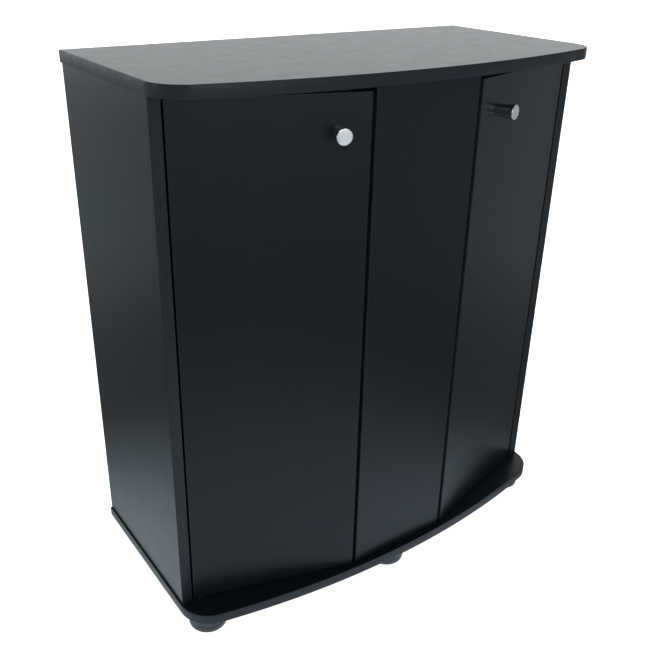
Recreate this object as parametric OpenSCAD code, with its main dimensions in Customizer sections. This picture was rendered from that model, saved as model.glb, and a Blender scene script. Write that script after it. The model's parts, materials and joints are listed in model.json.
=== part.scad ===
// Bow-front aquarium stand: a flat-pack chipboard cabinet with two angled doors.
// Lengths are in millimetres, +Z is up and the front faces -Y.
// The origin is on the floor, in the middle of the space that the stand takes up.

/* [Cabinet] */
// Width of the top and base boards
cabinet_w = 700; // [600:10:800]
// Depth from the rear edge to the middle of the bow front
cabinet_d = 350; // [350:5:400]
// Height from the floor to the top surface
cabinet_h = 790; // [700:10:900]
// Thickness of the chipboard
board_t = 16; // [15:1:18]
// How far the bow front swells beyond its own corners
bow_depth = 44; // [40:1:50]
// Radius of the front corners of the top and base boards
corner_r = 50; // [40:1:55]
// How far the top and base stick out past each side panel
side_overhang = 2.5; // [1:0.5:5]
// Thickness of the plastic edge bands
band_t = 1; // [0.5:0.5:2]

/* [Front] */
// Depth of the side panels, from the rear edge
side_depth = 268; // [260:1:270]
// Depth of the centre panel's face, from the rear edge
centre_depth = 338; // [330:1:340]
// Width of the fixed centre panel
centre_w = 170; // [150:5:200]
// Gap between a door and its side panel
hinge_gap = 2.5; // [2.5:0.5:4]
// Gap between a door and the centre panel, at the face
meeting_gap = 6.5; // [6:0.5:9]
// Gap above the doors
head_gap = 6; // [4:0.5:8]
// Gap below the doors
sill_gap = 2; // [2:0.5:4]

/* [Knobs] */
// Diameter of a knob's face
knob_face_d = 20.5; // [18:0.5:24]
// Diameter of a knob where it meets the door
knob_base_d = 16; // [12:0.5:18]
// How far a knob stands out of its door
knob_l = 28; // [20:1:32]
// Distance from the hinged edge of the door to the knob
knob_along = 203; // [150:1:210]
// Distance from the top of the door down to the knob
knob_drop = 46; // [42:1:80]

/* [Feet] */
// Diameter of a foot
foot_d = 57; // [44:1:60]
// Height of a foot
foot_h = 30; // [25:1:40]
// Distance from the middle of the stand to the outer feet
foot_x = 310; // [250:1:315]

/* [Inside] */
// Height of the shelf above the base board
shelf_rise = 356; // [250:1:420]
// Depth of the shelf
shelf_d = 230; // [200:1:235]
// Height of each hose opening in the back panel
hose_slot_h = 60; // [40:1:100]
// Width of each hose opening in the back panel
hose_slot_w = 120; // [60:5:160]
// Height of the rear rails
rail_h = 60; // [50:1:90]

/* [Hidden] */
$fn = 96;

board_color = "#1b2026";
band_color = "#242a31";
steel_color = "silver";

// Heights above the underside of the base board.
body_h = cabinet_h - foot_h;
inside_bottom = board_t;
inside_top = body_h - board_t;
inside_h = inside_top - inside_bottom;

// The bow is one arc through the two front corners and the middle of the front.
bow_r = (pow(cabinet_w / 2, 2) + pow(bow_depth, 2)) / (2 * bow_depth);
bow_y = bow_r - cabinet_d;
// Each front corner is an arc that touches the straight side and the bow.
corner_x = cabinet_w / 2 - corner_r;
corner_y = bow_y - sqrt(pow(bow_r - corner_r, 2) - pow(corner_x, 2));

// Faces of the side panels.
side_x = cabinet_w / 2 - side_overhang;
inner_x = side_x - board_t;

// A door fills the facet between the side panel and the centre panel.
hinge_x = inner_x - hinge_gap;
meeting_x = centre_w / 2 + meeting_gap;
door_angle = atan2(centre_depth - side_depth, hinge_x - meeting_x);
door_w = norm([hinge_x - meeting_x, centre_depth - side_depth]);
door_z = inside_bottom + sill_gap;
door_h = inside_h - sill_gap - head_gap;
knob_z = door_z + door_h - knob_drop;

// The door turns on two pins near its hinged edge.
pivot_along = 9;
pivot_in = 6;
pin_r = 2.5;
pin_in_door = 14;
pin_in_board = 9;
pin_clearance = 0.04;
bush_r = 4;
bush_depth = 10;
bush_flange_r = 6;
bush_flange_t = 1.8;

// Back panel in a rebate, and the rails above it.
back_t = 3;
back_recess = 1;
rebate_d = back_t + back_recess;
rebate_w = 8;
rail_bottom = inside_top - rail_h;
hose_slot_x = 25;
nail_r = 0.8;
nail_l = 20;
nail_head_r = 2.4;
nail_head_t = 0.8;
nail_count = 7;
nail_margin = 30;
nail_x = inner_x + rebate_w / 2;

// Shelves on pins.
shelf_slack = 0.5;
shelf_z = inside_bottom + shelf_rise;
shelf_front_y = -rebate_d - 2 * shelf_slack - shelf_d;
shelf_pin_r = 2.5;
shelf_pin_out = 8;
shelf_pin_in = 7;
shelf_pin_rows = [-40, -200];
shelf_pin_pitch = 32;

// Cam fittings and dowels that hold the upright boards to the top and base.
cam_r = 7.5;
cam_depth = 12.5;
cam_reach = 34;
cam_pocket_r = 3.8;
cam_slot = [4, 1.2, 8];
bolt_bore_r = 4;
bolt_r = 3;
bolt_thread_r = 2.5;
bolt_thread_l = 11;
bolt_head_r = 3.4;
bolt_head_l = 4;
dowel_r = 4;
dowel_in_board = 20;
dowel_in_panel = 10;
dowel_slack = 1;
rail_dowel_in_side = 7;
rail_dowel_in_rail = 23;
rail_dowel_spread = 15;
rail_y = -rebate_d - board_t / 2;

side_cams = [-60, -215];
side_dowels = [-30, -245];
divider_cams = [-90, -230];
divider_dowels = [-55, -285];
centre_cams = [-48, 48];
centre_dowels = [-70, 70];
centre_y = -centre_depth + board_t / 2;

// Feet, placed from the rear edge.
foot_rear_y = -30;
foot_front_y = -side_depth - 5;
foot_centre_y = -centre_depth + 28;
foot_web = 10;
foot_bore_r = 9;
foot_edge = 2;
foot_groove_z = 11;
foot_groove = 1;
foot_screw_r = 2.2;
foot_screw_in = 12;
foot_screw_head_r = 4.5;
foot_screw_head_t = 3;

// Knob, its screw, the strike plate and the magnetic catch.
knob_edge = 0.8;
knob_screw_r = 2;
knob_screw_bore_r = 2.25;
knob_screw_in = 12;
knob_screw_head_r = 4.5;
knob_screw_head_t = 2.3;
strike_w = 40;
strike_h = 14;
strike_t = 1;
strike_gap = 0.3;
strike_z = door_z + door_h - strike_h - 3;
strike_screw_r = 1.6;
strike_screw_head_r = 3;
strike_screw_l = 12;
catch_w = 46;
catch_d = 14;
catch_h = 20;
catch_y = board_t + strike_t + strike_gap;
catch_z = inside_top - catch_h;
magnet_w = 24;
magnet_d = 5;
magnet_h = 12;
catch_screw_spread = 17;
catch_screw_r = 1.75;
catch_screw_in = 11;
catch_screw_head_r = 3.5;
catch_screw_head_t = 2;

// Front-most point of the knobs, measured from the rear edge: the rim of the face.
knob_rim_r = knob_face_d / 2 - knob_edge;
knob_reach = side_depth + knob_along * sin(door_angle) + knob_l * cos(door_angle)
    + knob_rim_r * sin(door_angle);
rear_y = max(knob_reach, cabinet_d) / 2;

// ---- Placing ----

// From the rear edge at the underside of the base board to the model's origin.
module place() {
    translate([0, rear_y, foot_h]) children();
}

module both_sides() {
    children();
    mirror([1, 0, 0]) children();
}

// What is drawn for the lower end of the stand, turned over to its upper end.
module at_upper_end() {
    translate([0, 0, body_h]) mirror([0, 0, 1]) children();
}

module both_ends() {
    children();
    at_upper_end() children();
}

// The left door's own frame: X along the door from its hinged edge, Y into the stand.
module on_left_door() {
    translate([-hinge_x, -side_depth, 0]) rotate([0, 0, -door_angle]) children();
}

module side_of(side) {
    if (side == "left") children();
    else mirror([1, 0, 0]) children();
}

// A box from one corner to the other.
module box(low, high) {
    translate(low) cube(high - low);
}

// A cylinder that points along -Y, towards the front, from its start point.
module forward_rod(start, r, l) {
    translate(start) rotate([90, 0, 0]) cylinder(r = r, h = l);
}

// ---- Outline of the top and base boards ----

module bow_outline(inset) {
    edge_x = cabinet_w / 2 - inset;
    reach = corner_r / (bow_r - corner_r);
    touch_x = corner_x + corner_x * reach;
    touch_y = corner_y + (corner_y - bow_y) * reach;
    front_y = -cabinet_d - board_t;
    translate([-edge_x, corner_y]) square([2 * edge_x, -inset - corner_y]);
    for (side = [-1, 1]) {
        translate([side * corner_x, corner_y]) circle(r = corner_r - inset);
    }
    intersection() {
        translate([0, bow_y]) circle(r = bow_r - inset, $fn = 720);
        polygon([
            [-corner_x, corner_y], [-touch_x, touch_y], [-touch_x, front_y],
            [touch_x, front_y], [touch_x, touch_y], [corner_x, corner_y]
        ]);
    }
}

module bow_board() {
    color(board_color) linear_extrude(board_t) bow_outline(band_t);
}

module bow_band() {
    color(band_color) linear_extrude(board_t) difference() {
        bow_outline(0);
        bow_outline(band_t);
    }
}

// ---- Fittings: each is drawn for the lower end of an upright board ----

// A drum that lies across the board, l long from its blind end towards +X.
module cam_blank(l) {
    translate([board_t / 2 - cam_depth, 0, cam_reach]) rotate([0, 90, 0]) cylinder(r = cam_r, h = l);
}

// Cam drum with a pocket for the bolt's head and a cross slot in its open face.
module cam_drum() {
    difference() {
        cam_blank(cam_depth);
        translate([0, 0, cam_reach - cam_r - 1]) cylinder(r = cam_pocket_r, h = cam_r + 1);
        for (turn = [0, 90]) {
            translate([board_t / 2, 0, cam_reach]) rotate([turn, 0, 0]) cube(cam_slot, center = true);
        }
    }
}

module cam_bolt() {
    head_z = cam_reach - 1 - bolt_head_l;
    neck_z = cam_reach - cam_r - 3;
    translate([0, 0, -bolt_thread_l]) cylinder(r = bolt_thread_r, h = bolt_thread_l);
    cylinder(r = bolt_r, h = neck_z);
    translate([0, 0, neck_z]) cylinder(r = bolt_r - 1, h = head_z - neck_z);
    translate([0, 0, head_z]) cylinder(r = bolt_head_r, h = bolt_head_l);
}

module cam_bores() {
    cylinder(r = bolt_bore_r, h = cam_reach);
    cam_blank(cam_depth + 1);
}

module dowel() {
    translate([0, 0, -dowel_in_panel]) cylinder(r = dowel_r, h = dowel_in_panel + dowel_in_board);
}

module dowel_bore() {
    cylinder(r = dowel_r, h = dowel_in_board + dowel_slack);
}

// Places of the fittings in every upright board.
module at_side_cams() {
    both_sides() for (y = side_cams) {
        translate([-side_x + board_t / 2, y, inside_bottom]) children();
    }
}

module at_divider_cams() {
    for (y = divider_cams) translate([0, y, inside_bottom]) children();
}

module at_centre_cams() {
    for (x = centre_cams) translate([x, centre_y, inside_bottom]) rotate([0, 0, 90]) children();
}

module at_side_dowels() {
    both_sides() for (y = side_dowels) {
        translate([-side_x + board_t / 2, y, inside_bottom]) children();
    }
}

module at_divider_dowels() {
    for (y = divider_dowels) translate([0, y, inside_bottom]) children();
}

module at_centre_dowels() {
    for (x = centre_dowels) translate([x, centre_y, inside_bottom]) children();
}

module at_all_cams() {
    at_side_cams() children();
    at_divider_cams() children();
    at_centre_cams() children();
}

module at_all_dowels() {
    at_side_dowels() children();
    at_divider_dowels() children();
    at_centre_dowels() children();
}

// Dowels along X that join the rear rails to the sides and the divider.
module rail_dowels(r, in_rail, in_side) {
    both_sides() for (z = [-1, 1] * rail_dowel_spread) {
        translate([0, rail_y, inside_top - rail_h / 2 + z]) rotate([0, 90, 0]) {
            translate([0, 0, -inner_x - in_side]) cylinder(r = r, h = in_rail + in_side);
            translate([0, 0, -board_t / 2 - in_rail]) cylinder(r = r, h = in_rail + in_side);
        }
    }
}

// Nails through the back panel into the sides and the divider.
module at_nails() {
    first_z = inside_bottom + nail_margin;
    step = (inside_h - 2 * nail_margin) / (nail_count - 1);
    for (x = [-nail_x, 0, nail_x], i = [0 : nail_count - 1]) {
        translate([x, -back_recess, first_z + i * step]) children();
    }
}

module nail_shank() {
    forward_rod([0, 0, 0], nail_r, nail_l);
}

// Pin positions for one shelf pin row on the left side panel and the divider.
module at_shelf_pins(levels) {
    for (y = shelf_pin_rows, level = levels) {
        translate([0, y, shelf_z - shelf_pin_r + level * shelf_pin_pitch]) rotate([0, 90, 0]) children();
    }
}

module shelf_pin_bores() {
    at_shelf_pins([-2 : 2]) {
        translate([0, 0, -inner_x - shelf_pin_in]) cylinder(r = shelf_pin_r, h = shelf_pin_in + 1);
        translate([0, 0, -board_t / 2 - 1]) cylinder(r = shelf_pin_r, h = shelf_pin_in + 1);
    }
}

// ---- Feet ----

module at_feet() {
    for (x = [-foot_x, 0, foot_x]) translate([x, foot_rear_y, 0]) children();
    for (x = [-foot_x, foot_x]) translate([x, foot_front_y, 0]) children();
    translate([0, foot_centre_y, 0]) children();
}

module foot_screw_shank() {
    translate([0, 0, -foot_web]) cylinder(r = foot_screw_r, h = foot_web + foot_screw_in);
}

module foot() {
    difference() {
        translate([0, 0, -foot_h]) rotate_extrude() difference() {
            square([foot_d / 2, foot_h]);
            polygon([[foot_d / 2 - foot_edge, 0], [foot_d / 2, foot_edge], [foot_d / 2, 0]]);
            translate([foot_d / 2, foot_groove_z]) rotate(45) square(foot_groove, center = true);
        }
        translate([0, 0, -foot_h - 1]) cylinder(r = foot_bore_r, h = foot_h - foot_web + 1);
        foot_screw_shank();
    }
}

module foot_screw() {
    foot_screw_shank();
    translate([0, 0, -foot_web - foot_screw_head_t]) cylinder(r = foot_screw_head_r, h = foot_screw_head_t);
}

// ---- Pivots: a steel pin in a flanged nylon bush, at the foot of the door ----

module at_pivot() {
    on_left_door() translate([pivot_along, pivot_in, inside_bottom]) children();
}

module pivot_bush() {
    difference() {
        union() {
            translate([0, 0, -bush_depth]) cylinder(r = bush_r, h = bush_depth);
            cylinder(r = bush_flange_r, h = bush_flange_t);
        }
        translate([0, 0, -bush_depth - 1]) {
            cylinder(r = pin_r + pin_clearance, h = bush_depth + bush_flange_t + 2);
        }
    }
}

// The lower pin ends pin_in_board below the door's sill, the upper one above its head.
module left_pins() {
    at_pivot() translate([0, 0, -pin_in_board]) {
        cylinder(r = pin_r, h = pin_in_board + sill_gap + pin_in_door);
    }
    at_upper_end() at_pivot() translate([0, 0, -pin_in_board]) {
        cylinder(r = pin_r, h = pin_in_board + head_gap + pin_in_door);
    }
}

// ---- Boards ----

module top_panel() {
    difference() {
        translate([0, 0, inside_top]) bow_board();
        at_upper_end() panel_bores();
        both_sides() catch_screw_shanks();
    }
}

module base_panel() {
    difference() {
        bow_board();
        panel_bores();
        at_feet() foot_screw_shank();
    }
}

// Bores in the face of the base board, where the upright boards and the doors stand.
module panel_bores() {
    at_all_cams() translate([0, 0, -bolt_thread_l]) cylinder(r = bolt_thread_r, h = bolt_thread_l + 1);
    at_all_dowels() translate([0, 0, -dowel_in_panel - dowel_slack]) {
        cylinder(r = dowel_r, h = dowel_in_panel + dowel_slack + 1);
    }
    both_sides() at_pivot() translate([0, 0, -bush_depth]) cylinder(r = bush_r, h = bush_depth + 1);
}

module side_panel(side) {
    color(board_color) difference() {
        side_of(side) box(
            [-side_x, -side_depth + band_t, inside_bottom],
            [-inner_x, 0, inside_top]
        );
        side_of(side) box(
            [-inner_x - rebate_w, -rebate_d, inside_bottom - 1],
            [-inner_x + 1, 1, inside_top + 1]
        );
        both_ends() {
            at_side_cams() cam_bores();
            at_side_dowels() dowel_bore();
        }
        rail_dowels(dowel_r, 1, rail_dowel_in_side);
        at_nails() nail_shank();
        both_sides() shelf_pin_bores();
    }
}

module side_edge_band(side) {
    color(band_color) side_of(side) box(
        [-side_x, -side_depth, inside_bottom],
        [-inner_x, -side_depth + band_t, inside_top]
    );
}

module centre_front_panel() {
    half_w = centre_w / 2 - band_t;
    color(board_color) difference() {
        box([-half_w, -centre_depth, inside_bottom], [half_w, -centre_depth + board_t, inside_top]);
        both_ends() {
            at_centre_cams() cam_bores();
            at_centre_dowels() dowel_bore();
        }
    }
}

module centre_panel_edge_bands() {
    color(band_color) both_sides() box(
        [-centre_w / 2, -centre_depth, inside_bottom],
        [-centre_w / 2 + band_t, -centre_depth + board_t, inside_top]
    );
}

module centre_divider() {
    color(board_color) difference() {
        box(
            [-board_t / 2, -centre_depth + board_t, inside_bottom],
            [board_t / 2, -rebate_d, inside_top]
        );
        both_ends() {
            at_divider_cams() cam_bores();
            at_divider_dowels() dowel_bore();
        }
        rail_dowels(dowel_r, 1, rail_dowel_in_side);
        at_nails() nail_shank();
        both_sides() shelf_pin_bores();
    }
}

module back_panel() {
    half_w = inner_x + rebate_w;
    color(board_color) difference() {
        box([-half_w, -rebate_d, inside_bottom], [half_w, -back_recess, inside_top]);
        both_sides() box(
            [-hose_slot_x - hose_slot_w, -rebate_d - 1, rail_bottom - hose_slot_h],
            [-hose_slot_x, 1, rail_bottom]
        );
        at_nails() nail_shank();
    }
}

module back_panel_nails() {
    color(steel_color) at_nails() {
        nail_shank();
        forward_rod([0, nail_head_t, 0], nail_head_r, nail_head_t);
    }
}

module rear_rail(side) {
    color(board_color) difference() {
        side_of(side) box(
            [-inner_x, -rebate_d - board_t, rail_bottom],
            [-board_t / 2, -rebate_d, inside_top]
        );
        rail_dowels(dowel_r, rail_dowel_in_rail + dowel_slack, 1);
    }
}

module shelf(side) {
    color(board_color) side_of(side) box(
        [-inner_x + shelf_slack, shelf_front_y + band_t, shelf_z],
        [-board_t / 2 - shelf_slack, shelf_front_y + shelf_d, shelf_z + board_t]
    );
}

module shelf_edge_bands() {
    color(band_color) both_sides() box(
        [-inner_x + shelf_slack, shelf_front_y, shelf_z],
        [-board_t / 2 - shelf_slack, shelf_front_y + band_t, shelf_z + board_t]
    );
}

module shelf_pins() {
    length = shelf_pin_in + shelf_pin_out;
    color(steel_color) both_sides() at_shelf_pins([0]) {
        translate([0, 0, -inner_x - shelf_pin_in]) cylinder(r = shelf_pin_r, h = length);
        translate([0, 0, -board_t / 2 - shelf_pin_out]) cylinder(r = shelf_pin_r, h = length);
    }
}

// ---- Door and what is fixed to it, drawn for the left side ----

module door_panel(side) {
    color(board_color) side_of(side) difference() {
        on_left_door() box(
            [band_t, 0, door_z + band_t],
            [door_w - band_t, board_t, door_z + door_h - band_t]
        );
        left_pins();
        on_left_door() forward_rod([knob_along, board_t + 1, knob_z], knob_screw_bore_r, board_t + 2);
        on_left_door() strike_screw_shank();
    }
}

module door_edge_band(side) {
    color(band_color) side_of(side) difference() {
        on_left_door() box([0, 0, door_z], [door_w, board_t, door_z + door_h]);
        on_left_door() box(
            [band_t, -1, door_z + band_t],
            [door_w - band_t, board_t + 1, door_z + door_h - band_t]
        );
        left_pins();
    }
}

module pivot_pins(side) {
    color(steel_color) side_of(side) left_pins();
}

module knob(side) {
    face_r = knob_face_d / 2;
    color(steel_color) side_of(side) difference() {
        on_left_door() translate([knob_along, 0, knob_z]) rotate([90, 0, 0]) rotate_extrude() polygon([
            [0, 0], [knob_base_d / 2, 0], [face_r, knob_l - knob_edge], [knob_rim_r, knob_l], [0, knob_l]
        ]);
        on_left_door() knob_screw_shank();
    }
}

module knob_screw_shank() {
    forward_rod([knob_along, board_t, knob_z], knob_screw_r, board_t + knob_screw_in);
}

module knob_screw(side) {
    color(steel_color) side_of(side) on_left_door() {
        knob_screw_shank();
        translate([0, knob_screw_head_t, 0]) {
            forward_rod([knob_along, board_t, knob_z], knob_screw_head_r, knob_screw_head_t);
        }
    }
}

module strike_screw_shank() {
    forward_rod([knob_along, board_t, strike_z + strike_h / 2], strike_screw_r, strike_screw_l);
}

module strike_screw_head() {
    forward_rod([knob_along, board_t + strike_t, strike_z + strike_h / 2], strike_screw_head_r, strike_t);
}

module strike_plate(side) {
    color(steel_color) side_of(side) on_left_door() difference() {
        box(
            [knob_along - strike_w / 2, board_t, strike_z],
            [knob_along + strike_w / 2, board_t + strike_t, strike_z + strike_h]
        );
        strike_screw_head();
    }
}

module strike_screw(side) {
    color(steel_color) side_of(side) on_left_door() {
        strike_screw_shank();
        strike_screw_head();
    }
}

// ---- Magnetic catch under the top board, drawn in the left door's frame ----

module magnet_box(grow) {
    box(
        [knob_along - magnet_w / 2, catch_y - grow, catch_z + 4],
        [knob_along + magnet_w / 2, catch_y + magnet_d, catch_z + 4 + magnet_h]
    );
}

module catch_screw_shanks() {
    on_left_door() for (x = [-1, 1] * catch_screw_spread) {
        translate([knob_along + x, catch_y + catch_d / 2, catch_z]) {
            cylinder(r = catch_screw_r, h = catch_h + catch_screw_in);
        }
    }
}

module catch_housings() {
    color(band_color) both_sides() difference() {
        on_left_door() box(
            [knob_along - catch_w / 2, catch_y, catch_z],
            [knob_along + catch_w / 2, catch_y + catch_d, inside_top]
        );
        on_left_door() magnet_box(1);
        catch_screw_shanks();
    }
}

module catch_magnets() {
    color("dimgray") both_sides() on_left_door() magnet_box(0);
}

module catch_screws() {
    color(steel_color) both_sides() {
        catch_screw_shanks();
        on_left_door() for (x = [-1, 1] * catch_screw_spread) {
            translate([knob_along + x, catch_y + catch_d / 2, catch_z - catch_screw_head_t]) {
                cylinder(r = catch_screw_head_r, h = catch_screw_head_t);
            }
        }
    }
}

// ---- Groups of identical fittings ----

module cam_locks() {
    color(steel_color) both_ends() at_all_cams() cam_drum();
}

module cam_bolts() {
    color(steel_color) both_ends() at_all_cams() cam_bolt();
}

module dowels() {
    color("burlywood") {
        both_ends() at_all_dowels() dowel();
        rail_dowels(dowel_r, rail_dowel_in_rail, rail_dowel_in_side);
    }
}

module pivot_bushes() {
    color(band_color) both_ends() both_sides() at_pivot() pivot_bush();
}

// ---- The stand ----

place() {
    top_panel();
    translate([0, 0, inside_top]) bow_band();  // top_edge_band
    base_panel();
    bow_band();  // base_edge_band
    side_panel("left");  // left_side_panel
    side_panel("right");  // right_side_panel
    side_edge_band("left");  // left_side_edge_band
    side_edge_band("right");  // right_side_edge_band
    centre_front_panel();
    centre_panel_edge_bands();
    centre_divider();
    back_panel();
    back_panel_nails();
    rear_rail("left");  // left_rear_rail
    rear_rail("right");  // right_rear_rail
    shelf("left");  // left_shelf
    shelf("right");  // right_shelf
    shelf_edge_bands();
    shelf_pins();
    cam_locks();
    cam_bolts();
    dowels();
    color(band_color) at_feet() foot();  // feet
    color(steel_color) at_feet() foot_screw();  // foot_screws
    pivot_bushes();
    catch_housings();
    catch_magnets();
    catch_screws();
    door_panel("left");  // left_door_panel
    door_edge_band("left");  // left_door_edge_band
    knob("left");  // left_knob
    knob_screw("left");  // left_knob_screw
    pivot_pins("left");  // left_pivot_pins
    strike_plate("left");  // left_strike_plate
    strike_screw("left");  // left_strike_screw
    door_panel("right");  // right_door_panel
    door_edge_band("right");  // right_door_edge_band
    knob("right");  // right_knob
    knob_screw("right");  // right_knob_screw
    pivot_pins("right");  // right_pivot_pins
    strike_plate("right");  // right_strike_plate
    strike_screw("right");  // right_strike_screw
}
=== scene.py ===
"""Looks of the bow-front aquarium stand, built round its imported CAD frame.

Lengths are in metres. The front faces -Y, and left and right are as seen from the front.
"""

import json
import math

import bmesh
import bpy
from mathutils import Matrix, Vector


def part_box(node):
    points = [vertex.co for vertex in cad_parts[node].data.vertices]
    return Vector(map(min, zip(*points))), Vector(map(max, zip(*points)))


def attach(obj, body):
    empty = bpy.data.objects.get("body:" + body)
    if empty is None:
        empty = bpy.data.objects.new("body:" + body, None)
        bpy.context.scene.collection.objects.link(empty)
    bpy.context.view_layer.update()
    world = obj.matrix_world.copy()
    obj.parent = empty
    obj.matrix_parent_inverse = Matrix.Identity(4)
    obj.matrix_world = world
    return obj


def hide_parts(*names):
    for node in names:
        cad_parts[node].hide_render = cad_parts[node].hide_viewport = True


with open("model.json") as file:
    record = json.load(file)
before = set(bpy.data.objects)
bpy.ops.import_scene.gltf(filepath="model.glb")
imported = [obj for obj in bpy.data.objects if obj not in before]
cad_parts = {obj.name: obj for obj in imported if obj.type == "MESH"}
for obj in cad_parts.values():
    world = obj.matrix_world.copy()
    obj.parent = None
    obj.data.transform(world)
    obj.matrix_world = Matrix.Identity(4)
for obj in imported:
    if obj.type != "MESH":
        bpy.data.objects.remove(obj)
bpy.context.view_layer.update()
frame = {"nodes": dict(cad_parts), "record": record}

MM = 0.001
X = Vector((1, 0, 0))
Y = Vector((0, 1, 0))
Z = Vector((0, 0, 1))
FLAT = Vector((1, 1, 0))
SIDES = ("left", "right")

# ---------------------------------------------------------------- sizes from the frame

top_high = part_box("top_edge_band")[1]
core_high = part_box("top_panel")[1]

BAND_T = top_high.x - core_high.x
HALF_W = top_high.x
REAR_Y = top_high.y
CABINET_D = 350 * MM
BOW_DEPTH = 44 * MM
CORNER_R = 50 * MM

# The bow is one arc through both front corners and the middle of the front.
BOW_R = (HALF_W**2 + BOW_DEPTH**2) / (2 * BOW_DEPTH)
BOW_Y = REAR_Y - CABINET_D + BOW_R
CORNER_X = HALF_W - CORNER_R
CORNER_Y = BOW_Y - math.sqrt((BOW_R - CORNER_R) ** 2 - CORNER_X**2)

BAND_ROUND = 0.8 * MM
BOARD_ROUND = 0.15 * MM
METAL_ROUND = 0.3 * MM
PLASTIC_ROUND = 0.6 * MM

RECORD = frame["record"]
BODY = {node: body for body, nodes in RECORD["behaviour"]["bodies"].items() for node in nodes}

# ---------------------------------------------------------------- mesh helpers

WELD = 1e-6
ON_PLANE = 1e-5
SHARP_ANGLE = math.radians(30)
FLAT_ANGLE = math.radians(0.5)
SHORT_EDGE = 3 * MM


def make_piece(bm, nodes, materials):
    """Turns a bmesh into the piece that stands for CAD nodes, named after the first of them."""
    mesh = bpy.data.meshes.new(nodes[0] + "_look")
    bm.to_mesh(mesh)
    bm.free()
    for material in materials:
        mesh.materials.append(material)
    piece = bpy.data.objects.new(mesh.name, mesh)
    bpy.context.scene.collection.objects.link(piece)
    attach(piece, BODY[nodes[0]])
    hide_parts(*nodes)
    return piece


def smooth_faces(bm, angle=SHARP_ANGLE):
    """Turns the faces outwards and shades them smooth, apart from the sharp edges."""
    bmesh.ops.recalc_face_normals(bm, faces=bm.faces)
    for face in bm.faces:
        face.smooth = True
    for edge in bm.edges:
        edge.smooth = edge.is_manifold and edge.calc_face_angle() < angle


def loft(bm, loops, closed=False):
    """Joins closed loops of equal length with quads. closed also joins the last loop to the first."""
    rings = [[bm.verts.new(point) for point in loop] for loop in loops]
    pairs = list(zip(rings, rings[1:]))
    if closed:
        pairs.append((rings[-1], rings[0]))
    for low, high in pairs:
        for i in range(len(low)):
            j = (i + 1) % len(low)
            bm.faces.new((low[i], low[j], high[j], high[i]))
    return rings


def circle(radius, height, segments):
    """A horizontal ring of points about the Z axis."""
    turns = [2 * math.pi * i / segments for i in range(segments)]
    return [Vector((radius * math.cos(a), radius * math.sin(a), height)) for a in turns]


def turned(bm, matrix, profile, segments=64, closed=False):
    """Turns a profile of (radius, height) about the matrix's Z axis, and caps it unless it is closed."""
    loops = [[matrix @ point for point in circle(r, h, segments)] for r, h in profile]
    rings = loft(bm, loops, closed)
    if not closed:
        bm.faces.new(rings[0])
        bm.faces.new(rings[-1])
    return rings


def arc(centre, radius, start, end, count):
    """Points on a flat arc from one angle to another, ends included."""
    turns = [start + (end - start) * i / count for i in range(count + 1)]
    return [(centre[0] + radius * math.cos(a), centre[1] + radius * math.sin(a)) for a in turns]


def softened(node, width, materials, choose=None, paint=None, segments=3):
    """A piece with a CAD node's solid and rounded edges.

    choose says which sharp edges are rounded, and paint which material a face takes.
    """
    bm = bmesh.new()
    bm.from_mesh(frame["nodes"][node].data)
    bmesh.ops.remove_doubles(bm, verts=bm.verts, dist=WELD)
    bmesh.ops.dissolve_limit(bm, angle_limit=FLAT_ANGLE, verts=bm.verts, edges=bm.edges)
    bmesh.ops.recalc_face_normals(bm, faces=bm.faces)
    weight = bm.edges.layers.float.new("bevel_weight_edge")
    for face in bm.faces:
        face.smooth = True
        face.material_index = paint(face) if paint else 0
    for edge in bm.edges:
        sharp = edge.is_manifold and edge.calc_face_angle() > SHARP_ANGLE
        rounded = sharp and edge.is_convex and (choose is None or choose(edge))
        edge.smooth = rounded or not sharp
        edge[weight] = 1.0 if rounded else 0.0
    piece = make_piece(bm, [node], materials)
    bevel = piece.modifiers.new("rounded_edges", "BEVEL")
    bevel.limit_method = "WEIGHT"
    bevel.width = width
    bevel.segments = segments
    bevel.use_clamp_overlap = False
    weighted = piece.modifiers.new("flat_shading", "WEIGHTED_NORMAL")
    weighted.weight = 100
    weighted.keep_sharp = True
    return piece


def reach(node, axis):
    """How far a CAD node reaches down and up an axis."""
    along = [vert.co.dot(axis) for vert in frame["nodes"][node].data.vertices]
    return min(along), max(along)


def solids(node):
    """(lowest corner, highest corner) of each separate solid of a CAD node."""
    bm = bmesh.new()
    bm.from_mesh(frame["nodes"][node].data)
    bmesh.ops.remove_doubles(bm, verts=bm.verts, dist=WELD)
    left = set(bm.verts)
    found = []
    for start in bm.verts:
        if start not in left:
            continue
        left.remove(start)
        stack = [start]
        island = []
        while stack:
            vert = stack.pop()
            island.append(vert.co.copy())
            for edge in vert.link_edges:
                other = edge.other_vert(vert)
                if other in left:
                    left.remove(other)
                    stack.append(other)
        low = Vector([min(point[k] for point in island) for k in range(3)])
        high = Vector([max(point[k] for point in island) for k in range(3)])
        found.append((low, high))
    bm.free()
    return found


def pointing(origin, direction):
    """A frame at a place whose Z axis points in a direction."""
    turn = Vector(direction).to_track_quat("Z", "Y")
    return Matrix.Translation(origin) @ turn.to_matrix().to_4x4()


# ---------------------------------------------------------------- door frames


def door_frame(side):
    """The door's own frame: X along the door from its hinged edge, Y into the stand, Z up."""
    points = [vert.co for vert in frame["nodes"][side + "_door_edge_band"].data.vertices]
    outward = -X if side == "left" else X
    hinge_front = max(points, key=lambda p: outward.dot(p)) * FLAT
    meeting_front = min(points, key=lambda p: p.y) * FLAT
    along = (meeting_front - hinge_front).normalized()
    inward = Vector((along.y, -along.x, 0))
    if inward.y < 0:
        inward = -inward
    turn = Matrix((along, inward, Z)).transposed().to_4x4()
    return Matrix.Translation(hinge_front) @ turn


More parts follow.
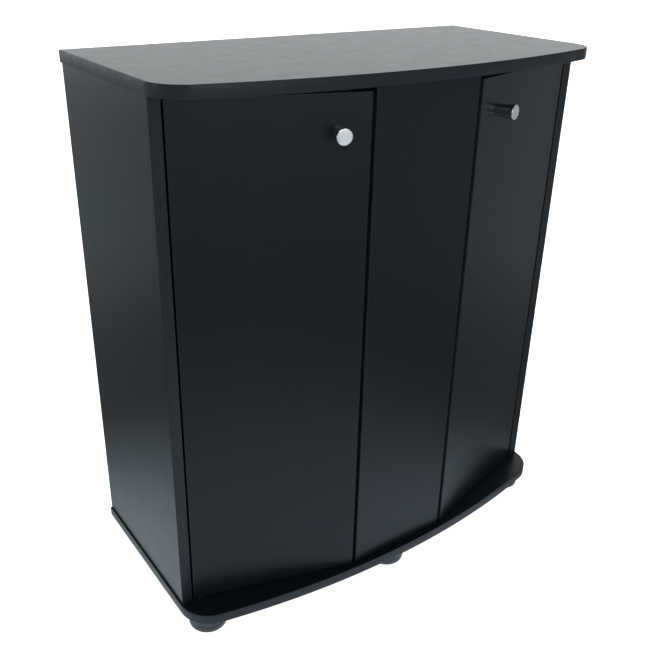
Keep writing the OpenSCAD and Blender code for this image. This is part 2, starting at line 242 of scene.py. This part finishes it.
def box_in(node, matrix):
    """(lowest corner, highest corner) of a CAD node, measured in a frame."""
    inverse = matrix.inverted()
    points = [inverse @ vert.co for vert in frame["nodes"][node].data.vertices]
    low = Vector([min(point[k] for point in points) for k in range(3)])
    high = Vector([max(point[k] for point in points) for k in range(3)])
    return low, high


# ---------------------------------------------------------------- material helpers


class Recipe:
    """A node material that is written down one texture at a time."""

    def __init__(self, name):
        self.material = bpy.data.materials.new(name)
        self.material.use_nodes = True
        self.tree = self.material.node_tree
        self.shader = self.tree.nodes["Principled BSDF"]
        self.place = self.add("ShaderNodeTexCoord").outputs["Object"]

    def put(self, socket, value):
        if isinstance(value, bpy.types.NodeSocket):
            self.tree.links.new(value, socket)
        else:
            socket.default_value = value

    def add(self, kind, inputs=(), **settings):
        node = self.tree.nodes.new(kind)
        for key, value in settings.items():
            setattr(node, key, value)
        for key, value in dict(inputs).items():
            self.put(node.inputs[key], value)
        return node

    def noise(self, scale, detail=2.0, roughness=0.5, place=None):
        inputs = {"Vector": place or self.place, "Scale": scale, "Detail": detail, "Roughness": roughness}
        return self.add("ShaderNodeTexNoise", inputs).outputs["Fac"]

    def cells(self, scale, output="Distance", place=None):
        inputs = {"Vector": place or self.place, "Scale": scale}
        return self.add("ShaderNodeTexVoronoi", inputs).outputs[output]

    def stretched(self, x, y, z):
        """The place with each axis scaled, which draws a texture out along the small ones."""
        return self.add("ShaderNodeMapping", {"Vector": self.place, "Scale": (x, y, z)}).outputs["Vector"]

    def ramp(self, value, low, high, out_low=0.0, out_high=1.0):
        inputs = {"Value": value, "From Min": low, "From Max": high, "To Min": out_low, "To Max": out_high}
        return self.add("ShaderNodeMapRange", inputs, interpolation_type="SMOOTHSTEP").outputs["Result"]

    def math(self, operation, a, b=0.0):
        return self.add("ShaderNodeMath", {0: a, 1: b}, operation=operation).outputs[0]

    def mix(self, factor, a, b):
        inputs = {"Factor": factor, 6: a, 7: b}
        return self.add("ShaderNodeMix", inputs, data_type="RGBA").outputs[2]

    def bump(self, height, distance, strength=1.0, under=None):
        inputs = {"Height": height, "Distance": distance, "Strength": strength}
        if under is not None:
            inputs["Normal"] = under
        return self.add("ShaderNodeBump", inputs).outputs["Normal"]

    def done(self, color, roughness, normal, metallic=0.0, specular=0.5):
        self.put(self.shader.inputs["Base Color"], color)
        self.put(self.shader.inputs["Roughness"], roughness)
        self.put(self.shader.inputs["Normal"], normal)
        self.shader.inputs["Metallic"].default_value = metallic
        self.shader.inputs["Specular IOR Level"].default_value = specular
        return self.material


def rgb(red, green, blue):
    return (red, green, blue, 1.0)


# ---------------------------------------------------------------- materials


def melamine():
    """Black satin melamine: a fine pressed pebble, faint clouds, handling smudges and a little dust."""
    r = Recipe("melamine_black_satin")
    cloud = r.noise(6, 3)
    pebble = r.noise(1500, 2, 0.6)
    smudge = r.noise(34, 4, 0.6)
    specks = r.ramp(r.cells(320), 0.0, 0.06, 1.0, 0.0)
    dust = r.math("MULTIPLY", specks, r.ramp(r.noise(21, 2), 0.5, 0.75))
    tone = r.mix(cloud, rgb(0.0040, 0.0064, 0.0092), rgb(0.0052, 0.0082, 0.0118))
    pressed = r.mix(r.ramp(pebble, 0.45, 0.8), tone, rgb(0.007, 0.0096, 0.0128))
    color = r.mix(r.math("MULTIPLY", dust, 0.35), pressed, rgb(0.13, 0.14, 0.15))
    roughness = r.math("ADD", r.ramp(smudge, 0.3, 0.75, 0.315, 0.345), r.math("MULTIPLY", dust, 0.2))
    wave = r.bump(r.noise(9, 1), 0.0002, 0.06)
    return r.done(color, roughness, r.bump(pebble, 0.00003, 0.5, wave), specular=0.16)


def edge_band():
    """Black ABS edge band: a shade lighter than the boards, finely speckled and lightly scuffed."""
    r = Recipe("edge_band_speckled")
    grain = r.noise(900, 3, 0.75)
    fleck = r.ramp(r.cells(420), 0.04, 0.2, 1.0, 0.0)
    spots = r.math("MAXIMUM", r.ramp(grain, 0.52, 0.74), r.math("MULTIPLY", fleck, 0.6))
    scuff = r.noise(80, 3, 0.6)
    base = r.mix(scuff, rgb(0.0050, 0.0078, 0.0112), rgb(0.0080, 0.0118, 0.0165))
    color = r.mix(r.math("MULTIPLY", spots, 0.45), base, rgb(0.042, 0.056, 0.073))
    return r.done(color, r.ramp(scuff, 0.3, 0.7, 0.36, 0.48), r.bump(grain, 0.00006, 0.6), specular=0.2)


def chipboard():
    """The raw core of a board: wood chips pressed in glue."""
    r = Recipe("chipboard_core")
    place = r.stretched(1, 1, 1.8)
    chips = r.cells(400, "Color", place)
    tone = r.add("ShaderNodeSeparateColor", {"Color": chips}).outputs["Red"]
    light = r.mix(tone, rgb(0.26, 0.16, 0.085), rgb(0.55, 0.40, 0.25))
    color = r.mix(r.ramp(r.noise(650, 3), 0.54, 0.7), light, rgb(0.11, 0.065, 0.035))
    roughness = r.ramp(tone, 0, 1, 0.75, 0.92)
    crumbs = r.bump(r.cells(400, place=place), 0.0003, 0.7)
    return r.done(color, roughness, crumbs, specular=0.2)


def hardboard():
    """The rough back of the hardboard: brown pressed fibre with the weave of the press screen."""
    r = Recipe("hardboard_fibre")
    fibre = r.noise(420, 5, 0.7)
    patch = r.noise(11, 3)
    weave = r.math("MULTIPLY", screen_wave(r, "X"), screen_wave(r, "Z"))
    base = r.mix(patch, rgb(0.125, 0.066, 0.034), rgb(0.19, 0.108, 0.058))
    strands = r.mix(r.ramp(fibre, 0.35, 0.7), base, rgb(0.25, 0.155, 0.09))
    color = r.mix(r.math("MULTIPLY", weave, 0.35), strands, rgb(0.07, 0.036, 0.018))
    under = r.bump(weave, 0.0002, 0.5)
    return r.done(color, r.ramp(fibre, 0.2, 0.8, 0.7, 0.9), r.bump(fibre, 0.0002, 0.6, under), specular=0.25)


def screen_wave(r, direction):
    """Ripples 2 mm apart along one axis."""
    ripples_per_metre = 500 * 2 * math.pi / 20
    inputs = {"Vector": r.place, "Scale": ripples_per_metre, "Distortion": 0.6, "Detail": 1.0}
    return r.add("ShaderNodeTexWave", inputs, bands_direction=direction).outputs["Fac"]


def knob_face(axis_places):
    """The knob's end: satin metal faced on a lathe, with rings about each knob's own axis."""
    r = Recipe("knob_face_turned")
    nearest = None
    for place in axis_places:
        inputs = {0: r.place, 1: place}
        away = r.add("ShaderNodeVectorMath", inputs, operation="DISTANCE").outputs["Value"]
        nearest = away if nearest is None else r.math("MINIMUM", nearest, away)
    ring_pitch = 0.35 * MM
    rings = r.math("SINE", r.math("MULTIPLY", nearest, 2 * math.pi / ring_pitch))
    grain = r.noise(2600, 3, 0.7)
    color = r.mix(grain, rgb(0.66, 0.68, 0.69), rgb(0.76, 0.78, 0.79))
    under = r.bump(rings, 0.00002, 0.5)
    return r.done(color, r.ramp(grain, 0.3, 0.7, 0.34, 0.5), r.bump(grain, 0.00004, 0.5, under), metallic=1.0)


def knob_side():
    """The knob's conical side: polished plate with faint turning lines and fingermarks."""
    r = Recipe("knob_side_polished")
    marks = r.noise(260, 4, 0.6)
    fine = r.noise(2200, 2)
    color = r.mix(marks, rgb(0.60, 0.61, 0.63), rgb(0.70, 0.71, 0.72))
    return r.done(color, r.ramp(marks, 0.35, 0.7, 0.10, 0.2), r.bump(fine, 0.00001, 0.4), metallic=1.0)


def zinc_plate():
    """Zinc-plated steel: spangled, with faint yellow passivation."""
    r = Recipe("zinc_plated_steel")
    spangle = r.cells(700, "Color")
    shade = r.add("ShaderNodeSeparateColor", {"Color": spangle}).outputs["Green"]
    wear = r.noise(300, 4)
    plate = r.mix(shade, rgb(0.50, 0.51, 0.50), rgb(0.64, 0.64, 0.60))
    color = r.mix(r.ramp(wear, 0.5, 0.75), plate, rgb(0.60, 0.57, 0.46))
    return r.done(color, r.ramp(wear, 0.3, 0.7, 0.24, 0.42), r.bump(wear, 0.00004, 0.5), metallic=1.0)


def cast_zinc():
    """Die-cast zinc alloy: matt grey with a cast skin."""
    r = Recipe("cast_zinc_alloy")
    skin = r.noise(900, 4, 0.7)
    color = r.mix(skin, rgb(0.36, 0.37, 0.38), rgb(0.50, 0.51, 0.52))
    return r.done(color, r.ramp(skin, 0.3, 0.7, 0.42, 0.6), r.bump(skin, 0.00008, 0.7), metallic=1.0)


def beech():
    """Beech dowel: pale fluted wood with short dark flecks."""
    r = Recipe("beech_dowel")
    grain = r.noise(240, 4, 0.6, r.stretched(1, 1, 0.15))
    fleck = r.ramp(r.noise(900, 2, 0.5, r.stretched(1, 1, 0.3)), 0.6, 0.72)
    wood = r.mix(grain, rgb(0.48, 0.31, 0.17), rgb(0.66, 0.47, 0.29))
    color = r.mix(r.math("MULTIPLY", fleck, 0.6), wood, rgb(0.30, 0.17, 0.09))
    return r.done(color, r.ramp(grain, 0.2, 0.8, 0.55, 0.7), r.bump(grain, 0.0002, 0.6), specular=0.3)


def moulded(name, low, high, roughness_low, roughness_high, texture_scale):
    """Moulded plastic with a spark-eroded texture, flow clouds and rubbed patches."""
    r = Recipe(name)
    texture = r.noise(texture_scale, 3, 0.65)
    flow = r.noise(30, 3)
    rubbed = r.ramp(r.noise(75, 3), 0.45, 0.7)
    color = r.mix(r.math("MULTIPLY", r.math("ADD", flow, texture), 0.5), low, high)
    unworn = r.ramp(texture, 0.3, 0.7, roughness_low, roughness_high)
    roughness = r.math("SUBTRACT", unworn, r.math("MULTIPLY", rubbed, 0.08))
    return r.done(color, roughness, r.bump(texture, 0.00008, 0.6), specular=0.4)


def ferrite():
    """Sintered magnet: near-black, granular, with small pale chips."""
    r = Recipe("ferrite_magnet")
    grit = r.noise(1300, 4, 0.7)
    chips = r.ramp(r.cells(500), 0.02, 0.1, 1.0, 0.0)
    dark = r.mix(grit, rgb(0.018, 0.018, 0.019), rgb(0.05, 0.05, 0.052))
    color = r.mix(r.math("MULTIPLY", chips, 0.3), dark, rgb(0.16, 0.16, 0.16))
    return r.done(color, r.ramp(grit, 0.3, 0.7, 0.55, 0.75), r.bump(grit, 0.0001, 0.7), specular=0.4)


# ---------------------------------------------------------------- bow boards

BOW_STEPS = 300
CORNER_STEPS = 28
BAND_STEPS = 5
NOTCH_X = -147.6 * MM
NOTCH_HALF_W = 2.0 * MM
NOTCH_DEPTH = 0.55 * MM


def bow_loop(inset, height):
    """The outline of the top and base boards, moved inwards and held at a height."""
    touch = math.atan2(CORNER_Y - BOW_Y, CORNER_X)
    right = arc((CORNER_X, CORNER_Y), CORNER_R - inset, 0, touch, CORNER_STEPS)
    front = arc((0, BOW_Y), BOW_R - inset, touch, -math.pi - touch, BOW_STEPS)
    left = [(-x, y) for x, y in reversed(right)]
    rear_y = REAR_Y - inset
    rear = [(inset - HALF_W, rear_y), (HALF_W - inset, rear_y)]
    return [Vector((x, y, height)) for x, y in right + front[1:-1] + left + rear]


def round_edge_profile(low, high, radius, steps):
    """(inset, height) points round the outside of a band, from its underside to its top."""
    under = arc((radius, low + radius), radius, -math.pi / 2, -math.pi, steps)
    over = arc((radius, high - radius), radius, math.pi, math.pi / 2, steps)
    return under + over


def bow_band(node, materials, notch=False):
    """The edge band of a bow board, with both outer edges rounded over."""
    low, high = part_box(node)
    profile = [(BAND_T, low.z)]
    profile += round_edge_profile(low.z, high.z, BAND_ROUND, BAND_STEPS)
    profile += [(BAND_T, high.z)]
    bm = bmesh.new()
    rings = loft(bm, [bow_loop(inset, height) for inset, height in profile], closed=True)
    if notch:
        dent([vert for ring in rings[1:-2] for vert in ring], high.z)
    smooth_faces(bm, math.radians(50))
    return make_piece(bm, [node], materials)


def dent(verts, top_z):
    """Presses a small knock into the upper front edge."""
    for vert in verts:
        near_edge = max(0.0, 1 - (top_z - vert.co.z) / BAND_T)
        at_notch = math.exp(-(((vert.co.x - NOTCH_X) / NOTCH_HALF_W) ** 2))
        if vert.co.y < 0:
            push = NOTCH_DEPTH * near_edge * at_notch
            vert.co.y += push
            vert.co.z -= push


def bow_board(node, materials):
    """The chipboard inside the band, with melamine above and below."""
    low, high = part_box(node)
    soft = BOARD_ROUND
    profile = [
        (BAND_T + soft, low.z), (BAND_T, low.z + soft),
        (BAND_T, high.z - soft), (BAND_T + soft, high.z),
    ]
    bm = bmesh.new()
    rings = loft(bm, [bow_loop(inset, height) for inset, height in profile])
    for ring in (rings[0], rings[-1]):
        bm.faces.new(ring)
    smooth_faces(bm)
    for face in bm.faces:
        upright = abs(face.normal.z) < 0.5
        face.material_index = 1 if upright else 0
    return make_piece(bm, [node], materials)


# ---------------------------------------------------------------- flat boards and straight bands


def flat_board(node, axis, materials):
    """A board with melamine on the two faces across its axis, and raw core on its edges and bores."""
    low, high = reach(node, axis)

    def paint(face):
        along = face.calc_center_median().dot(axis)
        across = abs(face.normal.dot(axis)) > 0.99
        outside = min(along - low, high - along) < ON_PLANE
        return 0 if across and outside else 1

    return softened(node, BOARD_ROUND, materials, paint=paint, segments=2)


def straight_band(node, axis, materials, both=False):
    """A strip of edge band, whose outer edges along the strip are rounded over."""
    low, high = reach(node, axis)

    def choose(edge):
        along = [vert.co.dot(axis) for vert in edge.verts]
        outer = max(along) - low < ON_PLANE or (both and high - min(along) < ON_PLANE)
        return outer and edge.calc_length() > SHORT_EDGE * 10

    return softened(node, BAND_ROUND, materials, choose=choose, segments=4)


def door_band(side, place, materials):
    """The band round a door's four edges, with its outer edges rounded over."""
    node = side + "_door_edge_band"
    low, high = box_in(node, place)
    inverse = place.inverted()

    def on_rim(point):
        return min(point.x - low.x, high.x - point.x, point.z - low.z, high.z - point.z) < ON_PLANE

    def choose(edge):
        ends = [inverse @ vert.co for vert in edge.verts]
        return all(on_rim(end) for end in ends) and edge.calc_length() > SHORT_EDGE

    return softened(node, BAND_ROUND, materials, choose=choose, segments=4)


# ---------------------------------------------------------------- turned parts


def knob(side, place, materials):
    """A conical door knob: a tapering side, a bright rim and a faced end."""
    node = side + "_knob"
    low, high = box_in(node, place)
    base_r = 8 * MM
    face_r = (high.x - low.x) / 2 - 0.05 * MM
    length = high.y - low.y - 0.1 * MM
    centre = Vector(((low.x + high.x) / 2, high.y, (low.z + high.z) / 2))
    axis = pointing(place @ centre, -(place.to_3x3() @ Y))
    rim_r = 0.8 * MM
    foot = [(2 * MM, 0), (base_r - 0.3 * MM, 0), (base_r, 0.3 * MM)]
    taper = (face_r - base_r) / length
    side_steps = 8
    heights = [length * (0.1 + 0.8 * i / side_steps) for i in range(side_steps + 1)]
    cone = [(base_r + taper * h, h) for h in heights]
    rim = arc((face_r - rim_r, length - rim_r), rim_r, 0, math.pi / 2, 6)
    bm = bmesh.new()
    dish_outer_r = face_r - 1.4 * MM
    dish_inner_r = face_r - 1.6 * MM
    dish_floor = length - 0.1 * MM
    dish = [(dish_outer_r, length), (dish_inner_r, dish_floor), (1 * MM, dish_floor)]
    rings = turned(bm, axis, foot + cone + rim + dish, segments=96)
    first_face_ring = len(foot + cone + rim)
    ends = {vert for ring in rings[first_face_ring - 1:] for vert in ring}
    smooth_faces(bm, math.radians(20))
    for face in bm.faces:
        face.material_index = 1 if all(vert in ends for vert in face.verts) else 0
    return make_piece(bm, [node], materials)


def knob_end_place(side, place):
    """The middle of a knob's end face."""
    low, high = box_in(side + "_knob", place)
    return place @ Vector(((low.x + high.x) / 2, low.y, (low.z + high.z) / 2))


def feet(materials):
    """Moulded feet: a shallow groove round each, a soft lower edge and a recess for the screw."""
    bm = bmesh.new()
    recess_r = 9 * MM
    hole_r = 2.2 * MM
    web = 10 * MM
    soft = 5 * MM
    groove_z = 11 * MM
    groove = 0.7 * MM
    for low, high in solids("feet"):
        radius = (high.x - low.x) / 2
        height = high.z - low.z
        centre = Vector(((low.x + high.x) / 2, (low.y + high.y) / 2, low.z))
        profile = [(hole_r, height - web), (recess_r - 0.5 * MM, height - web)]
        profile += [(recess_r, height - web - 0.5 * MM)]
        profile += [(recess_r, 1 * MM), (recess_r + 1 * MM, 0)]
        profile += arc((radius - soft, soft), soft, -math.pi / 2, 0, 8)
        profile += [(radius, groove_z - groove), (radius - groove, groove_z), (radius, groove_z + groove)]
        profile += [(radius, height - 0.6 * MM), (radius - 0.6 * MM, height), (hole_r, height)]
        turned(bm, Matrix.Translation(centre), profile, segments=96, closed=True)
    smooth_faces(bm)
    return make_piece(bm, ["feet"], materials)


def screw(bm, head_seat, direction, shank_r, shank_l, head_r, head_t, sunk=False):
    """A cross-head screw. direction points out of its head, and head_seat is under the head."""
    axis = pointing(head_seat, direction)
    pitch = 1.2 * MM
    depth = 0.25 * MM
    turns = int(shank_l * 0.8 / pitch)
    shank = [(0.3 * MM, -shank_l), (shank_r - depth, -shank_l + 1.5 * MM)]
    for i in range(turns):
        z = -shank_l + 1.5 * MM + i * pitch
        shank += [(shank_r - depth, z + 0.2 * pitch), (shank_r, z + 0.5 * pitch)]
        shank += [(shank_r - depth, z + 0.8 * pitch)]
    top_r = head_r * 0.72
    if sunk:
        head = [(shank_r, 0), (head_r - 0.2 * MM, 0), (head_r - 0.05 * MM, head_t - 0.1 * MM)]
    else:
        crown = arc((top_r, 0), head_r - top_r, 0, math.pi / 2, 6)
        scale = head_t / (head_r - top_r)
        head = [(shank_r, 0)] + [(r, h * scale) for r, h in crown[:-1]]
    rings = loft(bm, [[axis @ p for p in circle(r, h, 32)] for r, h in shank + head])
    bm.faces.new(rings[0])
    recess(bm, axis, rings[-1], top_r, head_t)


def recess(bm, axis, rim, top_r, height):
    """Closes a screw head with a flat top that has a cross-shaped recess."""
    arm = top_r * 0.78
    half = arm * 0.28
    deep = min(height * 0.7, 1.6 * MM)
    quarter = [(arm, -half), (arm, half), (half, half)]
    turns = [Matrix.Rotation(k * math.pi / 2, 3, "Z") for k in range(4)]
    cross = [turn @ Vector((x, y, 0)) for turn in turns for x, y in quarter]
    upper = [bm.verts.new(axis @ Vector((p.x, p.y, height))) for p in cross]
    lower = [bm.verts.new(axis @ Vector((p.x * 0.6, p.y * 0.6, height - deep))) for p in cross]
    edge = [bm.verts.new(axis @ point) for point in circle(top_r, height, len(rim))]
    for i in range(len(rim)):
        j = (i + 1) % len(rim)
        bm.faces.new((rim[i], rim[j], edge[j], edge[i]))
    for i in range(len(cross)):
        j = (i + 1) % len(cross)
        bm.faces.new((upper[i], upper[j], lower[j], lower[i]))
    bm.faces.new(lower)
    outline = [bm.edges.get((edge[i], edge[(i + 1) % len(edge)])) for i in range(len(edge))]
    inline = [bm.edges.get((upper[i], upper[(i + 1) % len(upper)])) for i in range(len(upper))]
    bmesh.ops.triangle_fill(bm, edges=outline + inline, use_beauty=True)


def down_screws(node, head_r, head_t, shank_r, materials):
    """Screws driven straight up, whose heads point down."""
    bm = bmesh.new()
    for low, high in solids(node):
        seat = Vector(((low.x + high.x) / 2, (low.y + high.y) / 2, low.z + head_t))
        screw(bm, seat, -Z, shank_r, high.z - seat.z, head_r, head_t)
    smooth_faces(bm)
    return make_piece(bm, [node], materials)


def door_screw(node, place, head_r, head_t, shank_r, materials, sunk=False):
    """A screw driven out through a door from behind, whose head points into the stand."""
    low, high = box_in(node, place)
    seat = Vector(((low.x + high.x) / 2, high.y - head_t, (low.z + high.z) / 2))
    bm = bmesh.new()
    screw(bm, place @ seat, place.to_3x3() @ Y, shank_r, seat.y - low.y, head_r, head_t, sunk)
    smooth_faces(bm)
    return make_piece(bm, [node], materials)


def nails(materials):
    """Panel nails with slightly domed heads."""
    bm = bmesh.new()
    head_t = 0.8 * MM
    shank_r = 0.8 * MM
    for low, high in solids("back_panel_nails"):
        head_r = (high.x - low.x) / 2
        seat = Vector(((low.x + high.x) / 2, high.y - head_t, (low.z + high.z) / 2))
        length = seat.y - low.y
        profile = [(0.1 * MM, -length), (shank_r, -length + 2 * MM), (shank_r, 0), (head_r - 0.1 * MM, 0)]
        profile += [(head_r, 0.2 * MM), (head_r * 0.85, 0.6 * MM)]
        profile += [(head_r * 0.45, head_t), (0.1 * MM, head_t)]
        turned(bm, pointing(seat, Y), profile, segments=24)
    smooth_faces(bm, math.radians(45))
    return make_piece(bm, ["back_panel_nails"], materials)


# ---------------------------------------------------------------- the stand

board_face = melamine()
band = edge_band()
core = chipboard()
fibre = hardboard()
zinc = zinc_plate()
alloy = cast_zinc()
wood = beech()
black_plastic = moulded(
    "foot_black_plastic", rgb(0.010, 0.013, 0.017), rgb(0.024, 0.029, 0.035), 0.38, 0.52, 1200,
)
black_nylon = moulded("nylon_black", rgb(0.012, 0.013, 0.015), rgb(0.028, 0.030, 0.033), 0.36, 0.5, 900)
catch_plastic = moulded(
    "catch_grey_plastic", rgb(0.035, 0.037, 0.040), rgb(0.060, 0.063, 0.067), 0.4, 0.55, 1000,
)
magnet = ferrite()
door_places = {side: door_frame(side) for side in SIDES}
knob_metals = [knob_side(), knob_face([knob_end_place(side, door_places[side]) for side in SIDES])]

for level in ("top", "base"):
    bow_board(level + "_panel", [board_face, core])
    bow_band(level + "_edge_band", [band], notch=level == "top")

flat_board("centre_front_panel", Y, [board_face, core])
flat_board("centre_divider", X, [board_face, core])
straight_band("centre_panel_edge_bands", X, [band], both=True)
straight_band("shelf_edge_bands", Y, [band])
softened(
    "back_panel", BOARD_ROUND, [board_face, fibre],
    paint=lambda face: 0 if face.normal.y < -0.9 else 1, segments=2,
)
nails([zinc])

for side in SIDES:
    place = door_places[side]
    inward = place.to_3x3() @ Y
    flat_board(side + "_side_panel", X, [board_face, core])
    straight_band(side + "_side_edge_band", Y, [band])
    flat_board(side + "_rear_rail", Y, [board_face, core])
    flat_board(side + "_shelf", Z, [board_face, core])
    flat_board(side + "_door_panel", inward, [board_face, core])
    door_band(side, place, [band])
    knob(side, place, knob_metals)
    door_screw(side + "_knob_screw", place, 4.5 * MM, 2.3 * MM, 2.0 * MM, [zinc])
    door_screw(side + "_strike_screw", place, 3.0 * MM, 1.0 * MM, 1.6 * MM, [zinc], sunk=True)
    softened(side + "_pivot_pins", METAL_ROUND, [zinc])
    softened(side + "_strike_plate", METAL_ROUND, [zinc])

feet([black_plastic])
down_screws("foot_screws", 4.5 * MM, 3.0 * MM, 2.2 * MM, [zinc])
down_screws("catch_screws", 3.5 * MM, 2.0 * MM, 1.75 * MM, [zinc])
softened("shelf_pins", METAL_ROUND, [zinc])
softened("cam_locks", METAL_ROUND, [alloy])
softened("cam_bolts", METAL_ROUND, [zinc])
softened("dowels", PLASTIC_ROUND, [wood])
softened("pivot_bushes", METAL_ROUND, [black_nylon])
softened("catch_housings", PLASTIC_ROUND, [catch_plastic])
softened("catch_magnets", METAL_ROUND, [magnet])

# ---------------------------------------------------------------- studio

CAMERA_PLACE = Vector((-0.7089, -0.9324, 0.9428))
CAMERA_TURN = math.radians(35.573)
CAMERA_TILT = math.radians(25.432)
CAMERA_ROLL = math.radians(1.288)
CAMERA_LENS = 45.374
CAMERA_SHIFT = (0.0022, -0.0147)
SENSOR_WIDTH = 36.0
STAGE_RADIUS = 22.0
DOME_RADIUS = STAGE_RADIUS * 0.99
FLOOR_GLOW = 0.97
# The POOL, RING and OUTER values shape a painted reflection: a glowing sheet that only glossy rays see.
POOL_CENTRE = Vector((-0.22, -0.20, 0.0))
POOL_NEAR = 0.30
POOL_FAR = 0.78
POOL_GLOW = 1.35
RING_GLOW = 0.20
OUTER_NEAR = 0.95
OUTER_FAR = 1.9
OUTER_GLOW = 0.50
POOL_TINT = rgb(0.80, 0.95, 1.04)
WORLD_TINT = rgb(0.95, 0.99, 1.0)
WORLD_AROUND = 0.28
WORLD_BEHIND = 1.45
BEHIND = Vector((0.52, 0.74, 0.42)).normalized()
BEHIND_EDGE = 0.45
BEHIND_CORE = 0.95
KEY_POWER = 12
FRONT_POWER = 16
REAR_POWER = 8
LEFT_POWER = 4


def stage_piece(name, bm, material, shown_to):
    """Adds a studio surface that only the named kinds of ray see."""
    mesh = bpy.data.meshes.new(name)
    bm.to_mesh(mesh)
    bm.free()
    mesh.materials.append(material)
    piece = bpy.data.objects.new(name, mesh)
    bpy.context.scene.collection.objects.link(piece)
    for kind in ("camera", "diffuse", "glossy", "transmission", "shadow"):
        setattr(piece, "visible_" + kind, kind in shown_to)


def disc(height):
    """A wide round sheet."""
    bm = bmesh.new()
    bm.faces.new([bm.verts.new(point) for point in circle(STAGE_RADIUS, height, 96)])
    return bm


def studio_floor():
    """A wide pale floor, lit from within as a light table is."""
    r = Recipe("studio_floor_white")
    color = r.mix(r.noise(0.8, 3), rgb(0.90, 0.90, 0.90), rgb(0.93, 0.93, 0.93))
    white = r.done(color, 0.8, r.bump(r.noise(220, 3), 0.0002, 0.2), specular=0.1)
    r.shader.inputs["Emission Color"].default_value = rgb(1.0, 1.0, 1.0)
    r.shader.inputs["Emission Strength"].default_value = FLOOR_GLOW
    stage_piece("studio_floor", disc(0), white, ("camera", "diffuse", "shadow"))


def painted_reflection_pool():
    """A painted reflection of the floor: a glowing sheet that only glossy rays see, with a bright pool before
    the stand, a dimmer ring, and paler further out.
    """
    r = Recipe("studio_pool_of_light")
    shade = r.done(rgb(0, 0, 0), 0.9, r.bump(r.noise(220, 3), 0.0002, 0.2), specular=0.0)
    away = r.add("ShaderNodeVectorMath", {0: r.place, 1: POOL_CENTRE}, operation="DISTANCE").outputs["Value"]
    pool = r.ramp(away, POOL_NEAR, POOL_FAR, POOL_GLOW, RING_GLOW)
    glow = r.math("ADD", pool, r.ramp(away, OUTER_NEAR, OUTER_FAR, 0.0, OUTER_GLOW - RING_GLOW))
    r.put(r.shader.inputs["Emission Strength"], glow)
    r.shader.inputs["Emission Color"].default_value = POOL_TINT
    # Painted reflection: this glowing sheet is seen only by glossy rays, never by the camera or diffuse rays.
    stage_piece("painted_reflection_pool", disc(1 * MM), shade, ("glossy",))


def studio_backdrop():
    """A white dome that meets the floor, seen only by the camera."""
    r = Recipe("studio_backdrop_white")
    color = r.mix(r.noise(0.5, 2), rgb(0.9, 0.9, 0.9), rgb(0.93, 0.93, 0.93))
    white = r.done(color, 0.9, r.bump(r.noise(90, 2), 0.0002, 0.2), specular=0.0)
    r.shader.inputs["Emission Color"].default_value = rgb(1.0, 1.0, 1.0)
    r.shader.inputs["Emission Strength"].default_value = 1.0
    bm = bmesh.new()
    bmesh.ops.create_uvsphere(bm, u_segments=48, v_segments=24, radius=DOME_RADIUS)
    bmesh.ops.reverse_faces(bm, faces=bm.faces)
    stage_piece("studio_backdrop", bm, white, ("camera",))


def studio_world():
    """A dim even studio, brighter behind the stand."""
    world = bpy.data.worlds.new("studio_world")
    world.use_nodes = True
    bpy.context.scene.world = world
    tree = world.node_tree
    background = tree.nodes["Background"]
    background.inputs["Color"].default_value = WORLD_TINT
    direction = tree.nodes.new("ShaderNodeTexCoord").outputs["Generated"]
    lobe = tree.nodes.new("ShaderNodeVectorMath")
    lobe.operation = "DOT_PRODUCT"
    lobe.inputs[1].default_value = BEHIND
    tree.links.new(direction, lobe.inputs[0])
    strength = tree.nodes.new("ShaderNodeMapRange")
    strength.interpolation_type = "SMOOTHSTEP"
    strengths = {"To Min": WORLD_AROUND, "To Max": WORLD_BEHIND}
    for key, value in {"From Min": BEHIND_EDGE, "From Max": BEHIND_CORE, **strengths}.items():
        strength.inputs[key].default_value = value
    tree.links.new(lobe.outputs["Value"], strength.inputs["Value"])
    tree.links.new(strength.outputs["Result"], background.inputs["Strength"])


def soft_light(name, place, target, width, height, power):
    """A rectangular softbox that faces a target."""
    lamp = bpy.data.lights.new(name, "AREA")
    lamp.shape = "RECTANGLE"
    lamp.size = width
    lamp.size_y = height
    lamp.energy = power
    light = bpy.data.objects.new(name, lamp)
    light.matrix_world = pointing(place, Vector(place) - Vector(target))
    bpy.context.scene.collection.objects.link(light)


def studio_camera():
    """The camera, at the viewing angle of the photograph."""
    ahead = Vector((
        math.sin(CAMERA_TURN) * math.cos(CAMERA_TILT),
        math.cos(CAMERA_TURN) * math.cos(CAMERA_TILT),
        -math.sin(CAMERA_TILT),
    ))
    level = Vector((math.cos(CAMERA_TURN), -math.sin(CAMERA_TURN), 0))
    upright = level.cross(ahead)
    right = level * math.cos(CAMERA_ROLL) + upright * math.sin(CAMERA_ROLL)
    up = upright * math.cos(CAMERA_ROLL) - level * math.sin(CAMERA_ROLL)
    lens = bpy.data.cameras.new("camera")
    lens.lens = CAMERA_LENS
    lens.sensor_width = SENSOR_WIDTH
    lens.shift_x, lens.shift_y = CAMERA_SHIFT
    camera = bpy.data.objects.new("camera", lens)
    turn = Matrix((right, up, -ahead)).transposed().to_4x4()
    camera.matrix_world = Matrix.Translation(CAMERA_PLACE) @ turn
    bpy.context.scene.collection.objects.link(camera)
    bpy.context.scene.camera = camera


studio_floor()
painted_reflection_pool()
studio_backdrop()
studio_world()
studio_camera()
soft_light(
    "key_softbox", (-1.6, -1.4, 2.6), target=(0, 0, 0.4),
    width=1.6, height=1.6, power=KEY_POWER,
)
soft_light(
    "front_softbox", (-0.3, -2.6, 1.1), target=(0, 0, 0.6),
    width=1.2, height=0.7, power=FRONT_POWER,
)
soft_light(
    "rear_left_softbox", (-1.3, 2.5, 0.9), target=(-0.35, 0, 0.5),
    width=1.2, height=0.8, power=REAR_POWER,
)
soft_light(
    "left_strip", (-2.1, 0.45, 0.95), target=(0, -0.3, 0.7),
    width=0.35, height=0.7, power=LEFT_POWER,
)
bpy.context.scene.view_settings.view_transform = "Standard"
